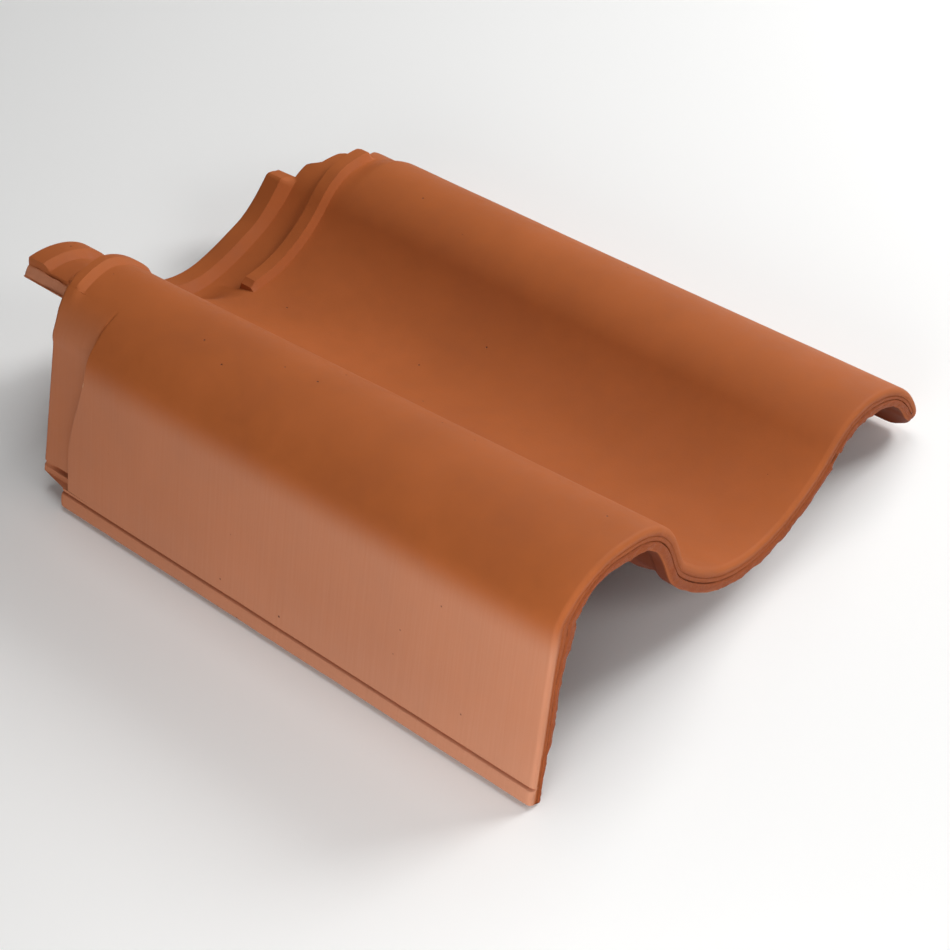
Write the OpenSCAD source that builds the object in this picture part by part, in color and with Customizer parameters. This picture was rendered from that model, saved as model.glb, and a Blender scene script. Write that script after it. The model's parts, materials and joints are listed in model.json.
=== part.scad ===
// Clay gable roof tile: two rolls, one pan, and a skirt that hangs over the edge of the roof.
// The tile is drawn as laid (X across, Y from tail to head, Z up) and then tilted onto the floor,
// where it lies on the foot of the skirt and on the free edge of the right roll.
// It is one pressed and fired shell, so it is one sweep: a section along the tile is carried
// across the roll, pan, roll line, and the section changes from station to station.

/* [Cover] */
// crest to crest, which is the width that one tile covers
pitch = 204; // [180:1:230]
// tail to the head's last rib
tile_length = 378; // [345:1:430]
// clay thickness of the shell
shell_t = 10; // [8.5:0.5:12]

/* [Rolls and pan] */
// radius of a roll on its outer side
roll_outer_r = 53; // [48:1:58]
// radius of a roll on the side of the pan
roll_inner_r = 45; // [36:1:48]
// crest down to the pan's lowest line
pan_depth = 50; // [42:1:56]
// how far the left roll's flank stands out at the tail, over the next tile's roll
flank_swell = 5.2; // [2:0.2:6]
// how far that flank stands in at the head
flank_waist = 4; // [2:0.5:6]
// how much deeper the pan is at the tail
pan_sag = 3; // [1:0.5:4]
// where the right roll ends, as an angle above the level line through its centre
free_edge_angle = 14; // [10:1:30]
// lean of the free edge's cut, so that its outer corner hangs lowest
free_edge_cut = 7; // [2:1:9]
// how far the free edge stands out at the tail, over the next tile's edge
rim_flare = 4; // [1:0.5:5]
// rounding of the free edge's corner at the tail
rim_corner_r = 16; // [8:1:18]
// how far the right roll sinks near the head, so that the next tile lies on it
roll_dip = 2; // [1:0.5:4]
// length over which the right roll sinks
dip_length = 14; // [8:1:24]

/* [Skirt] */
// crest down to the skirt's foot
skirt_drop = 124; // [100:1:160]
// the skirt's lean inward as it goes down
skirt_lean = 0.8; // [0:0.2:3]
// how far the skirt's foot rises from tail to head
skirt_taper = 7; // [4:0.5:10]
// radius of the crease between roll and skirt
crease_r = 14.5; // [14:0.5:20]
// angle of the roll's side at the crease
crease_angle = 53; // [48:1:64]
// extra clay in the inner corner of the crease
crease_fill = 5.5; // [2:0.5:7]
// height over which that clay fades out, up and down
fill_span = 28; // [20:1:36]
// height of the bead along the skirt's foot
bead_h = 8.5; // [6:0.5:10]
// how far the bead stands proud
bead_proud = 1; // [0.5:0.1:2]
// width of the groove above the bead
groove_w = 1.6; // [1:0.1:2]
// depth of that groove
groove_depth = 1.4; // [0.5:0.1:2]

/* [Recess at the head of the skirt] */
// length of the recess, along the skirt's foot
recess_length = 26; // [24:1:36]
// how far the bead runs on past the start of the recess
bead_past = 5; // [3:0.5:8]
// depth of the recess, under which the next skirt's tail slides
recess_depth = 5.5; // [3:0.5:6.5]
// how far the recess runs forward up the roll
recess_sweep = 12.5; // [6:0.5:16]
// height above the skirt's foot at which it begins to run forward
recess_foot = 32; // [24:1:40]
// height over which it runs forward
recess_span = 72; // [60:1:80]
// how far the recess stays above the skirt's foot
recess_rise = 12; // [12:0.5:16]
// height over which the recess fades out at the roll's top
recess_fade = 30; // [20:1:40]
// depth below the crest at which the recess begins
recess_top = 6; // [4:1:10]

/* [Head] */
// full rib at the very end, from the tongue to the pan's far side
end_rib_w = 16; // [12:1:20]
// height of the end rib
end_rib_h = 5; // [3:0.5:7]
// how far the end rib rises towards its right end
corner_lift = 2.5; // [1:0.5:4]
// channel between the two ribs
channel_w = 20; // [18:1:22]
// short rib in front of the channel
short_rib_w = 10.5; // [8:0.5:11]
// height of the short rib
short_rib_h = 5; // [3:0.5:7]
// distance of the short rib's left end from the pan's middle
short_rib_from = 5; // [1:1:20]
// how far the short rib leans back over half the pan
short_rib_skew = 10; // [6:0.5:11]
// sloping front of each rib
rib_slope = 4.5; // [3:0.5:5]
// end of the body on the left roll, in front of the tongue
body_setback = 37.5; // [36:0.5:44]
// how far the end of the skirt stands back from the end of the body
skirt_setback = 4; // [3:0.5:8]
// how far the end of the skirt draws back from its foot to the crease
end_sweep = 6; // [3:0.5:9]
// height of the rib that crosses the left roll in front of the tongue
roll_rib_h = 2.5; // [2:0.5:4]
// width of that rib's top
roll_rib_w = 4.5; // [3:0.5:5]
// how far its top stands back from the end of the body, which is its steep back
roll_rib_back = 2.5; // [2:0.5:4]
// drop from the left roll's crest to the tongue
tongue_drop = 10.5; // [7:0.5:12]
// distance from the left crest over which the head keeps that drop
drop_from = 72; // [60:1:84]
// distance from the left crest at which the drop has faded out
drop_to = 142; // [125:1:160]
// thickness of the tongue
tongue_t = 9; // [7.5:0.5:11]
// how far the tongue reaches left of the crest
tongue_reach = 22; // [14:1:26]
// how far the right corner stands back from the tile's end
corner_setback = 18; // [16:1:20]
// overhang of the short rib past the right crest
short_rib_past = 3; // [2:1:12]

/* [Tail] */
// rounding of the tail's upper edge
tail_edge = 3.5; // [2:0.5:5]
// thickening of the tail at the rolls and the skirt
tail_lip = 2; // [0.5:0.5:3]
// thickening of the tail in the pan
tail_lip_pan = 2.5; // [1.5:0.5:5]
// width of each of the two ribs under the tail
tail_rib_w = 11; // [8:1:14]
// groove between these two ribs
tail_groove_w = 11; // [8:1:14]

/* [Hanging nib] */
// width of the nib under the pan
nib_w = 34; // [24:1:44]
// height of the nib below the shell
nib_h = 13; // [9:0.5:14]
// thickness of the nib along the tile
nib_t = 16; // [12:1:18]
// tail to the nib's bearing face, which hooks behind the batten
nib_y = 300; // [285:1:303]

/* [Hidden] */
// small rounding of pressed edges
edge_r = 3;
// width of the draft on an end face
draft_w = 0.5;
// drawing steps on each arc
arc_steps = 7;
// share of an edge at which its rounding has its middle point
edge_share = 0.3;
// share of half the pan over which the tail's thickening fades
lip_share = 0.62;
// power of the curve by which the end draws forward again up the roll
end_power = 1.6;
// share of the end rib's height that it keeps on the tongue
tongue_share = 0.95;
// share of the left roll's flank at which its rib begins to fade
roll_rib_share = 0.8;
// share of the roll's inner flank at which the right corner is cut
corner_share = 0.87;
// share of the pan's width over which the flank's taper fades into the pan
flank_share = 0.18;
// share of half the pan over which its sag fades
sag_share = 0.56;
// share of the distance to the nib over which the pan's sag fades, so that it is level at the nib
level_share = 0.83;
// share of the nib's thickness that its foot keeps
nib_share = 0.75;

// centres and angles of the five arcs
roll_top = [0, -roll_outer_r];
pan_half = pitch / 2;
bend_r = (pan_half * pan_half + pan_depth * pan_depth) / (2 * pan_depth);
pan_r = bend_r - roll_inner_r;
pan_c = [pan_half, pan_r - pan_depth];
flank = 90 - 2 * atan2(pan_depth, pan_half);
crease_a = 90 + crease_angle;
skirt_a = 180 + skirt_lean;
crease_c = roll_top + (roll_outer_r - crease_r) * [cos(crease_a), sin(crease_a)];
tongue_a = 90 + asin(tongue_reach / roll_outer_r);
flank_x = roll_inner_r * cos(flank);
corner_in = corner_share * flank_x;
corner_a = 180 - acos(corner_in / roll_inner_r);
short_rib_a = 270 + asin(short_rib_from / pan_r);

// places along the tile
body_end = tile_length - body_setback;
end_rib_y = tile_length - end_rib_w;
short_rib_end = end_rib_y - channel_w;
short_rib_y = short_rib_end - short_rib_w;
corner_y = tile_length - corner_setback;
roll_rib_y = body_end - roll_rib_back - roll_rib_w;
side_end = body_end - skirt_setback;
bead_end = side_end - recess_length + bead_past;

// stations on an arc: [point, outward normal, settings]; the last one stops a draft short
function arc(c, r, a0, a1, up, set, steps = arc_steps) =
    let (stop = a1 - sign(a1 - a0) * draft_w / r * 180 / PI)
    [for (i = [0 : steps])
        let (a = a0 + (stop - a0) * i / steps)
        [c + r * [cos(a), sin(a)], up * [cos(a), sin(a)], set]];

// settings of a station: [end of the tile here, tongue, short rib, end rib, skirt]
bead = [bead_end, 0, 0, 0, 1];
side = [side_end, 0, 0, 0, 1];
tongue = [tile_length, 1, 0, 1, 0];
pan = [tile_length, 0, 0, 1, 0];
ribbed = [tile_length, 0, 1, 1, 0];
corner = [corner_y, 0, 1, 0, 0];
plain = [corner_y, 0, 0, 0, 0];

// the skirt, from its foot up to the crease: heights, how far the face is cut in, and settings
skirt_n = [cos(skirt_a), sin(skirt_a)];
skirt_top = crease_c + crease_r * skirt_n;
skirt_up = [sin(skirt_lean) * -1, cos(skirt_lean)];
skirt_h = (skirt_top[1] + skirt_drop) / cos(skirt_lean);
function on_skirt(h, cut, set) =
    [skirt_top + (h - skirt_h) * skirt_up, skirt_n, set, cut, skirt_taper * (1 - h / skirt_h) * skirt_up];
skirt_rows = concat(
    [on_skirt(0, -bead_proud, bead),
     on_skirt(bead_h - draft_w, -bead_proud, bead),
     on_skirt(bead_h, groove_depth, bead),
     on_skirt(bead_h + groove_w, groove_depth, bead),
     on_skirt(bead_h + groove_w + draft_w, 0, bead),
     on_skirt(recess_rise - draft_w / 2, 0, bead)],
    [for (i = [0 : 2 * arc_steps - 1])
        on_skirt(recess_rise + (skirt_h - recess_rise) * i / (2 * arc_steps), 0, side)]);

past_a = 90 - asin(short_rib_past / roll_outer_r);
inner_left = [0, -roll_inner_r];
inner_right = [pitch, -roll_inner_r];
outer_right = [pitch, -roll_outer_r];
lip_right = pitch + roll_outer_r / 2;

// the last stretch of the right roll, on which the stations lean over to the free edge's cut
function leaning(a, lean) =
    let (
        top = outer_right + roll_outer_r * [cos(a), sin(a)],
        low = outer_right + (roll_outer_r - shell_t) * [cos(a + lean), sin(a + lean)])
    [top, (top - low) / shell_t, plain];
rim_rows = [for (i = [0 : 2 * arc_steps])
    let (t = i / (2 * arc_steps))
    leaning(past_a + (free_edge_angle - past_a) * t, free_edge_cut * t)];
// how far the tail is cut back at the rounded corner of the free edge
rim_length = roll_outer_r * PI / 180;
function tail_at(x, z) =
    let (
        left = (atan2(z + roll_outer_r, x - pitch) - free_edge_angle) * rim_length,
        into = max(0, min(1, 1 - left / rim_corner_r)))
    x > pitch ? rim_corner_r * (1 - sqrt(1 - into * into)) : 0;

stations = concat(
    skirt_rows,
    arc(crease_c, crease_r, skirt_a, crease_a, 1, side),
    arc(roll_top, roll_outer_r, crease_a, tongue_a, 1, side),
    arc(roll_top, roll_outer_r, tongue_a, 90, 1, tongue),
    arc(inner_left, roll_inner_r, 90, flank, 1, tongue),
    arc(pan_c, pan_r, 180 + flank, short_rib_a, -1, pan, 2 * arc_steps),
    arc(pan_c, pan_r, short_rib_a, 360 - flank, -1, ribbed, 2 * arc_steps),
    arc(inner_right, roll_inner_r, 180 - flank, corner_a, 1, ribbed, 2),
    arc(inner_right, roll_inner_r, corner_a, 90, 1, corner),
    arc(outer_right, roll_outer_r, 90, past_a, 1, corner, 2),
    rim_rows);

// depth of the skirt's recess, and how far forward it starts, at a height
function recess_at(z) = recess_depth * max(0, min(1, (-recess_top - z) / recess_fade));
function recess_y(z) =
    side_end - recess_length - recess_sweep * (1 - fade((z + skirt_drop - recess_foot) / recess_span));
// the tail's thickening and the right roll's dip, across the tile
function bell(x, at, half) = abs(x - at) < half ? pow(cos(90 * (x - at) / half), 2) : 0;
function lip_at(x) =
    shell_t + tail_lip * max(0, min(1, x / tongue_reach + 1, (lip_right - x) / tongue_reach))
    + (tail_lip_pan - tail_lip) * bell(x, pan_half, pan_half * lip_share);
function dip_at(x) = roll_dip * (x < pitch ? bell(x, pitch, pan_half / 2) : 1);
// the drop of the head, which fades out across the pan
function fade(t) = pow(cos(90 * max(0, min(1, t))), 2);
function drop_at(x) = tongue_drop * fade((x - drop_from) / (drop_to - drop_from));
// length over which the body falls to that drop: a step on the roll, a slope in the pan
function fall_at(x) = draft_w + (end_rib_y - body_end - edge_r) * (1 - fade((x - flank_x) / pan_half));
// the clay in the corner of the crease, the end of the skirt and roll, and the short rib's lean
function fill_at(x, z) = x < 0 ? crease_fill * bell(z, skirt_top[1], fill_span) : 0;
function end_at(x, z) = z < skirt_top[1]
    ? side_end - end_sweep * (z + skirt_drop) / (skirt_top[1] + skirt_drop)
    : side_end - end_sweep + (skirt_setback + end_sweep) * pow(max(0, 1 - x / skirt_top[0]), end_power);
function skew_at(x) = short_rib_skew * max(0, x / pan_half - 1);

// the section along the tile at one station, as [place along the tile, depth below the face]
function section(st) =
    let (
        x = st[0][0],
        z = st[0][1],
        cut = is_undef(st[3]) ? 0 : st[3],
        end = st[2][0] == side_end ? end_at(x, z) : st[2][0],
        is_tongue = st[2][1],
        is_short = st[2][2],
        is_end_rib = st[2][3],
        is_skirt = st[2][4],
        floor_d = is_end_rib ? drop_at(x) : is_skirt ? 0 : dip_at(x),
        step_d = st[2][0] == bead_end ? cut : cut + (x < 0 ? recess_at(z) : 0),
        dip = is_end_rib || is_skirt ? step_d : dip_at(x),
        step_y = min(x < 0 ? recess_y(z) : recess_y(-recess_top), end - 4 * edge_r),
        rib_h = is_tongue
            ? end_rib_h * tongue_share
            : end_rib_h + corner_lift * (1 - fade((x - drop_to) / (pitch - corner_in - drop_to))),
        rise = roll_rib_h * fade((x / flank_x - roll_rib_share) / (1 - roll_rib_share)),
        rib_y = short_rib_y + skew_at(x),
        rib_end = short_rib_end + skew_at(x),
        fall = min(fall_at(x), end - body_end - edge_r),
        tail = tail_at(x, z),
        thick = shell_t + fill_at(x, z),
        lip = lip_at(x) + fill_at(x, z),
        under = is_end_rib ? max(thick, floor_d + tongue_t) : thick
    )
    concat(
        // the tail's rounded upper edge
        [[tail, tail_edge + cut], [tail + tail_edge * edge_share, tail_edge * edge_share + cut],
         [tail + tail_edge, cut]],
        // the face, down into the recess or the dip
        [[step_y, cut], [step_y + rib_slope / 2, step_d]],
        is_skirt
            // the end of the skirt and of the roll above it
            ? [[end - 3 * edge_r, step_d], [end - 2 * edge_r, step_d],
               [end - edge_r, step_d], [end - edge_r * edge_share, step_d + edge_r * edge_share],
               for (i = [0 : 6]) [end, step_d + edge_r + (thick - step_d - edge_r) * i / 6],
               [end - 2 * edge_r, thick], [end - 4 * edge_r, thick]]
            : concat(
                [[rib_y - dip_length, step_d]],
                // the rib at the end of the body, above the tongue, or the short rib
                is_tongue
                    ? [[roll_rib_y - rib_slope, step_d], [roll_rib_y, step_d - rise],
                       [roll_rib_y + roll_rib_w, step_d - rise],
                       [body_end, min(edge_r, floor_d / 2)], [body_end + draft_w, floor_d]]
                    : is_short
                    ? [[rib_y - edge_r, dip], [rib_y, dip],
                       [rib_y + rib_slope, dip - short_rib_h], [rib_end - draft_w, dip - short_rib_h],
                       [rib_end, floor_d]]
                    : [for (i = [0 : 4])
                        [body_end + fall * i / 4, dip + (floor_d - dip) * (1 - fade(i / 4))]],
                // the end rib, or the bare corner
                is_end_rib
                    ? [[end_rib_y, floor_d], [end_rib_y + rib_slope, floor_d - rib_h],
                       [end - draft_w * 2, floor_d - rib_h], [end, floor_d - rib_h + draft_w * 2]]
                    : [[end - draft_w * 3, floor_d], [end - draft_w * 2, floor_d],
                       [end - draft_w, floor_d], [end, floor_d + draft_w]],
                // the end face and the underside of the tongue
                [[end, under], [body_end - 2 * edge_r, under], [body_end - 6 * edge_r, thick]]),
        // the plain underside
        [for (i = [5 : -1 : 1]) [nib_y * i / 6, thick]],
        // the two ribs under the tail
        [[2 * tail_rib_w + tail_groove_w, thick], [2 * tail_rib_w + tail_groove_w - rib_slope, lip],
         [tail_rib_w + tail_groove_w + rib_slope, lip], [tail_rib_w + tail_groove_w, thick],
         [max(tail + draft_w, tail_rib_w), thick], [max(tail + draft_w / 2, tail_rib_w - rib_slope), lip],
         [tail, lip]]);

// the taper of the left roll's flank, of the pan and of the free edge, from the tail to the head
function flank_at(x) = bell(x, flank_x, x < flank_x ? flank_x + tongue_reach / 4 : pan_half * flank_share);
function taper_at(x, y) =
    let (t = y / body_end)
    y > body_end ? 0 : flank_at(x) * (flank_swell - (flank_swell + flank_waist) * t)
        - pan_sag * bell(x, pan_half, pan_half * sag_share) * max(0, 1 - y / (nib_y * level_share))
        + rim_flare * pow(max(0, x - pitch) / roll_outer_r, 2) * (1 - t);
// a point in space, from a station, a place along the tile and a depth below the face
function spot(st, y, d) =
    let (
        lift = is_undef(st[4]) ? [0, 0] : st[4] * y / tile_length,
        p = st[0] + (taper_at(st[0][0], y) - d) * st[1] + lift)
    [p[0], y, p[1]];
function placed(st) = [for (q = section(st)) spot(st, q[0], q[1])];

rows = [for (st = stations) placed(st)];
across = len(rows);
around = len(rows[0]);
last = (across - 1) * around;

// resting plane: it holds the foot of the skirt from tail to head, and meets the right roll's edge
foot_tail = spot(stations[0], 0, shell_t);
foot_head = spot(stations[0], bead_end, shell_t);
rest_along = (foot_head[2] - foot_tail[2]) / bead_end;
rest_across = min([for (r = rows) for (p = r) if (p[0] > pitch)
    (p[2] - foot_tail[2] - rest_along * p[1]) / (p[0] - foot_tail[0])]);
up_raw = [-rest_across, -rest_along, 1];
up = up_raw / norm(up_raw);
ahead_raw = [0, 1, 0] - up[1] * up;
ahead = ahead_raw / norm(ahead_raw);
aside = cross(ahead, up);
lying = [for (r = rows) for (p = r) [aside * p, ahead * p, up * p]];
lows = [for (k = [0 : 2]) min([for (p = lying) p[k]])];
highs = [for (k = [0 : 2]) max([for (p = lying) p[k]])];
rest = [[aside[0], aside[1], aside[2], -(lows[0] + highs[0]) / 2],
        [ahead[0], ahead[1], ahead[2], -(lows[1] + highs[1]) / 2],
        [up[0], up[1], up[2], -lows[2]],
        [0, 0, 0, 1]];

// the shell: every row joined to the next, with the two side edges closed
module shell() {
    polyhedron(
        points = [for (r = rows) each r],
        faces = concat(
            [for (k = [0 : around / 2 - 2])
                let (b = around - 1 - k)
                each [[k, b, k + 1], [b, b - 1, k + 1]]],
            [for (k = [0 : around / 2 - 2])
                let (f = last + k, b = last + around - 1 - k)
                each [[f, f + 1, b], [b, f + 1, b - 1]]],
            [for (i = [0 : across - 2])
                for (k = [0 : around - 1])
                    let (n = (k + 1) % around)
                    each [[i * around + k, (i + 1) * around + n, (i + 1) * around + k],
                          [i * around + k, i * around + n, (i + 1) * around + n]]]),
        convexity = 8);
}

// the nib under the pan: its tail side is upright and bears on the batten, its head side slopes
module hanging_nib() {
    low = -pan_depth - shell_t;
    translate([pan_half + nib_w / 2, 0, 0])
        rotate([90, 0, -90])
            linear_extrude(height = nib_w)
                polygon([[-nib_y, low + shell_t / 2],
                         [-nib_y - nib_t, low + shell_t / 2],
                         [-nib_y - nib_t, low],
                         [-nib_y - nib_t * nib_share, low - nib_h],
                         [-nib_y, low - nib_h]]);
}

module gable_tile() {
    color([0.66, 0.33, 0.19])
        multmatrix(rest) {
            shell();
            hanging_nib();
        }
}

gable_tile();
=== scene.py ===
"""Looks of a clay gable roof tile: two rolls, one pan and a skirt, pressed and fired as one piece.

The tile is modelled in millimetres as it is laid on a roof (X across, Y from tail to head, Z up),
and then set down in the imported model's own place, in metres.
"""

import json
import logging
import math
from dataclasses import dataclass, replace
from enum import Enum
from typing import Any, Optional

import bpy
import numpy as np
from mathutils import Matrix, Vector


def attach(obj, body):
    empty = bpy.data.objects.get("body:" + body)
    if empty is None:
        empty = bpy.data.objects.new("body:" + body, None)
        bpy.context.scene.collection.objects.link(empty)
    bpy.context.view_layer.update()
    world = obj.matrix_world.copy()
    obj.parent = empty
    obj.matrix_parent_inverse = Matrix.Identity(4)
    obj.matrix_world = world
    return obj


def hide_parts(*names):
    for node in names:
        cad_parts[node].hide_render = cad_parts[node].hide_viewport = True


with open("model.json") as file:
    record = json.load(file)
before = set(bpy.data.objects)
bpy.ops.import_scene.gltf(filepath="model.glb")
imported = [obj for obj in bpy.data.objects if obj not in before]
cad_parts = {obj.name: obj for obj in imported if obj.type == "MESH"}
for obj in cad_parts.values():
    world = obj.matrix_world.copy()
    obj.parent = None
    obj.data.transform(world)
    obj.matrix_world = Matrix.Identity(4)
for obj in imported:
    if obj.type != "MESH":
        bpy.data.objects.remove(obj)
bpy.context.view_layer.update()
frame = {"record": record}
MM = 0.001
NODE = "gable_tile"
LOG = logging.getLogger("gable_tile")
Array = np.ndarray
Socket = bpy.types.NodeSocket


def hex_to_linear(code: str) -> tuple[float, float, float, float]:
    """Turns an sRGB hex colour into linear values.

    Args:
        code: colour such as "#a9623f".

    Returns:
        Red, green, blue and an alpha of one.
    """
    parts = [int(code[i:i + 2], 16) / 255 for i in (1, 3, 5)]
    linear = [p / 12.92 if p <= 0.04045 else ((p + 0.055) / 1.055) ** 2.4 for p in parts]
    return (linear[0], linear[1], linear[2], 1.0)


def add_node(tree: bpy.types.NodeTree, kind: str, settings: dict[str, Any],
             sockets: dict[Any, Any]) -> bpy.types.Node:
    """Adds one node with its settings, socket values and links.

    Args:
        tree: node tree that takes the node.
        kind: type name of the node.
        settings: the node's own properties, by name.
        sockets: a value or another node's output for each input, by name or number.

    Returns:
        The new node.
    """
    node = tree.nodes.new(kind)
    for name, value in settings.items():
        setattr(node, name, value)
    for key, value in sockets.items():
        if isinstance(value, Socket):
            tree.links.new(value, node.inputs[key])
        else:
            node.inputs[key].default_value = value
    return node


def smooth(t: Any) -> Any:
    """Rises softly from 0 to 1 as t goes from 0 to 1."""
    t = np.clip(t, 0.0, 1.0)
    return t * t * (3.0 - 2.0 * t)


def ease(t: float) -> float:
    """The same soft rise, for one number."""
    return float(smooth(t))


def hump(value: Any, at: float, half: float) -> Any:
    """A soft hill of height 1 at a place, which ends half a width away."""
    return np.where(np.abs(value - at) < half, np.cos(np.pi / 2 * (value - at) / half) ** 2, 0.0)


def hill(value: float, at: float, half: float) -> float:
    """The same soft hill, for one number."""
    return float(hump(value, at, half))


def round_over(y: Array, end: float, radius: float) -> Array:
    """How far a rounded edge falls away before its end."""
    return radius * (1 - np.sqrt(1 - np.clip((y - end + radius) / radius, 0, 1) ** 2))


class Unevenness:
    """Soft seeded noise for hand-trimmed edges and the slight waves of fired clay."""

    def __init__(self, seed: int) -> None:
        """Draws the table of heights.

        Args:
            seed: number that fixes the draw.
        """
        self.table = np.random.default_rng(seed).uniform(-1.0, 1.0, (256, 256))

    def knot(self, u: Array, v: Array) -> Array:
        """Heights in the table, which repeats."""
        return self.table[u % len(self.table), v % len(self.table)]

    def at(self, u: Any, v: Any) -> Array:
        """Gives the height at a place.

        Args:
            u: first coordinate, one unit per wave.
            v: second coordinate, one unit per wave.

        Returns:
            Heights between -1 and 1.
        """
        u, v = np.broadcast_arrays(np.asarray(u, float), np.asarray(v, float))
        iu, iv = np.floor(u).astype(int), np.floor(v).astype(int)
        fu, fv = smooth(u - iu), smooth(v - iv)
        low = self.knot(iu, iv) * (1 - fu) + self.knot(iu + 1, iv) * fu
        high = self.knot(iu, iv + 1) * (1 - fu) + self.knot(iu + 1, iv + 1) * fu
        return low * (1 - fv) + high * fv


class Stretch(Enum):
    """Stretches across the tile, which end differently at the head."""

    BEAD = "bead"
    SIDE = "side"
    TONGUE = "tongue"
    PAN = "pan"
    RIBBED = "ribbed"
    CORNER = "corner"
    RIM = "rim"


LONG = (Stretch.TONGUE, Stretch.PAN, Stretch.RIBBED)
RIGHT = (Stretch.CORNER, Stretch.RIM)


@dataclass
class Station:
    """One place across the tile, at which a section along the tile is drawn, in mm."""

    x: float
    z: float
    nx: float
    nz: float
    stretch: Stretch
    cut: float = 0.0
    height: float = -1.0
    lift: float = 0.0
    run: float = 0.0
    shrink: float = 1.0
    end: float = 0.0
    tail: float = 0.0


@dataclass
class GableTile:
    """The tile: its sizes in mm as laid, its mesh and its finish. A field named share has no unit."""

    # cover
    pitch: float = 204.0
    length: float = 378.0
    shell: float = 10.0
    # rolls and pan, and how they narrow from tail to head
    outer_r: float = 53.0
    inner_r: float = 45.0
    pan_depth: float = 50.0
    flank_swell: float = 5.2
    flank_waist: float = 4.0
    flank_reach: float = 18.4
    roll_reach: float = 6.0
    pan_sag: float = 3.0
    sag_reach: float = 57.0
    sag_length: float = 249.0
    # right roll, its free edge, and the dip before the short rib
    free_angle: float = 14.0
    free_cut: float = 7.0
    rim_corner_r: float = 16.0
    rim_thin: float = 4.0
    rim_flare: float = 4.0
    roll_raise: float = 0.8
    raise_from: float = 190.0
    raise_x: float = 150.96
    raise_span: float = 40.8
    roll_dip: float = 1.5
    dip_length: float = 12.0
    dip_in: float = 24.0
    dip_span: float = 20.0
    # skirt
    skirt_drop: float = 124.0
    skirt_lean: float = 0.8
    skirt_taper: float = 7.0
    crease_r: float = 14.5
    crease_angle: float = 53.0
    crease_fill: float = 5.5
    fill_span: float = 28.0
    bead_h: float = 8.5
    bead_proud: float = 1.0
    groove_w: float = 1.4
    groove_depth: float = 1.5
    # recess at the head of the skirt, with the slot at its foot
    recess_length: float = 26.0
    recess_depth: float = 5.6
    recess_foot_depth: float = 3.5
    recess_sweep: float = 12.5
    recess_foot: float = 32.0
    recess_span: float = 72.0
    recess_rise: float = 12.0
    recess_fade: float = 30.0
    recess_top: float = 4.0
    recess_step: float = 1.0
    line_depth: float = 1.0
    line_in: float = 1.2
    line_w: float = 1.1
    bead_past: float = 5.0
    slot_h: float = 4.2
    slot_w: float = 2.0
    slot_depth: float = 5.6
    slot_edge: float = 0.4
    slot_full: float = 4.0
    slot_short: float = 6.0
    slot_share: float = 0.85
    # how the body ends at the head, and the rib across the left roll
    body_setback: float = 37.5
    skirt_setback: float = 4.0
    end_sweep: float = 6.0
    end_trim: float = 0.6
    foot_sweep: float = 1.4
    sweep_power: float = 0.8
    sweep_share: float = 0.3
    roll_rib_h: float = 2.5
    roll_rib_w: float = 4.5
    roll_rib_back: float = 2.5
    roll_rib_share: float = 0.8
    roll_rib_left: float = 9.0
    roll_rib_fade: float = 12.0
    # tongue: ledge, floor, cracks and the ragged flange on its left
    ledge_w: float = 9.0
    ledge_h: float = 3.2
    ledge_edge: float = 0.8
    ledge_stop: float = 2.0
    ledge_fade: float = 8.0
    tongue_drop: float = 10.5
    tongue_t: float = 9.0
    tongue_reach: float = 24.0
    flange_w: float = 7.0
    flange_h: float = 5.0
    flange_edge: float = 1.5
    flange_rag: float = 1.1
    crack_w: float = 1.0
    crack_depth: float = 1.8
    crack_in: float = 0.9
    crack_off: float = 0.6
    crack_share: float = 0.6
    root_reach: float = 10.0
    root_fade: float = 8.0
    root_from: float = 18.0
    root_span: float = 14.0
    # how far the head falls across the pan
    drop_from: float = 72.0
    drop_to: float = 142.0
    fall_min: float = 1.1
    fall_short: float = 4.0
    fall_share: float = 0.55
    fall_lead_share: float = 0.5
    fall_stretch_share: float = 1.6
    # ribs at the head
    rib_slope: float = 4.5
    end_rib_w: float = 16.0
    end_rib_h: float = 5.0
    end_rib_stop: float = 168.5
    end_round: float = 1.2
    tongue_rib_share: float = 0.62
    tongue_rib_start: float = 0.4
    tongue_rib_slope: float = 1.4
    corner_lift: float = 2.5
    lift_span: float = 30.0
    head_skew: float = 5.7
    channel_w: float = 20.0
    short_rib_w: float = 10.5
    short_rib_h: float = 4.2
    short_rib_slope: float = 2.6
    short_rib_from: float = 5.0
    short_rib_skew: float = 10.0
    short_rib_past: float = 3.0
    short_rib_tip: float = 7.0
    short_rib_fade: float = 5.0
    short_rib_share: float = 0.4
    short_rib_clear: float = 3.0
    back_in: float = 0.6
    back_w: float = 1.0
    # cut corner at the right
    corner_setback: float = 18.0
    corner_inset: float = 31.0
    corner_past: float = 0.3
    corner_slant: float = 2.0
    corner_spur: float = 6.5
    spur_w: float = 7.0
    corner_round: float = 1.5
    rim_setback: float = 9.0
    setback_w: float = 12.0
    setback_share: float = 0.5
    setback_far_share: float = 1.4
    # tail: upper edge, ribs below, face with its parting groove, one nick, the chipped foot of the skirt
    tail_edge: float = 2.4
    tail_lip: float = 2.0
    tail_lip_pan: float = 2.5
    lip_fade: float = 24.0
    lip_share: float = 0.62
    tail_rib_w: float = 11.0
    tail_groove_w: float = 11.0
    tail_rib_flank: float = 3.0
    tail_ribs_end: float = 46.0
    lip_proud: float = 0.7
    parting_depth: float = 1.0
    nick_x: float = 167.0
    nick_w: float = 2.6
    nick_depth: float = 3.0
    nick_rise: float = 2.5
    chip_depth: float = 3.2
    chip_z: float = -94.0
    chip_span: float = 5.0
    chip_reach: float = 4.0
    # hanging nib
    nib_w: float = 34.0
    nib_h: float = 13.0
    nib_t: float = 16.0
    nib_y: float = 300.0
    nib_draft: float = 1.0
    nib_edge: float = 0.3
    nib_clear: float = 2.0
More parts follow.
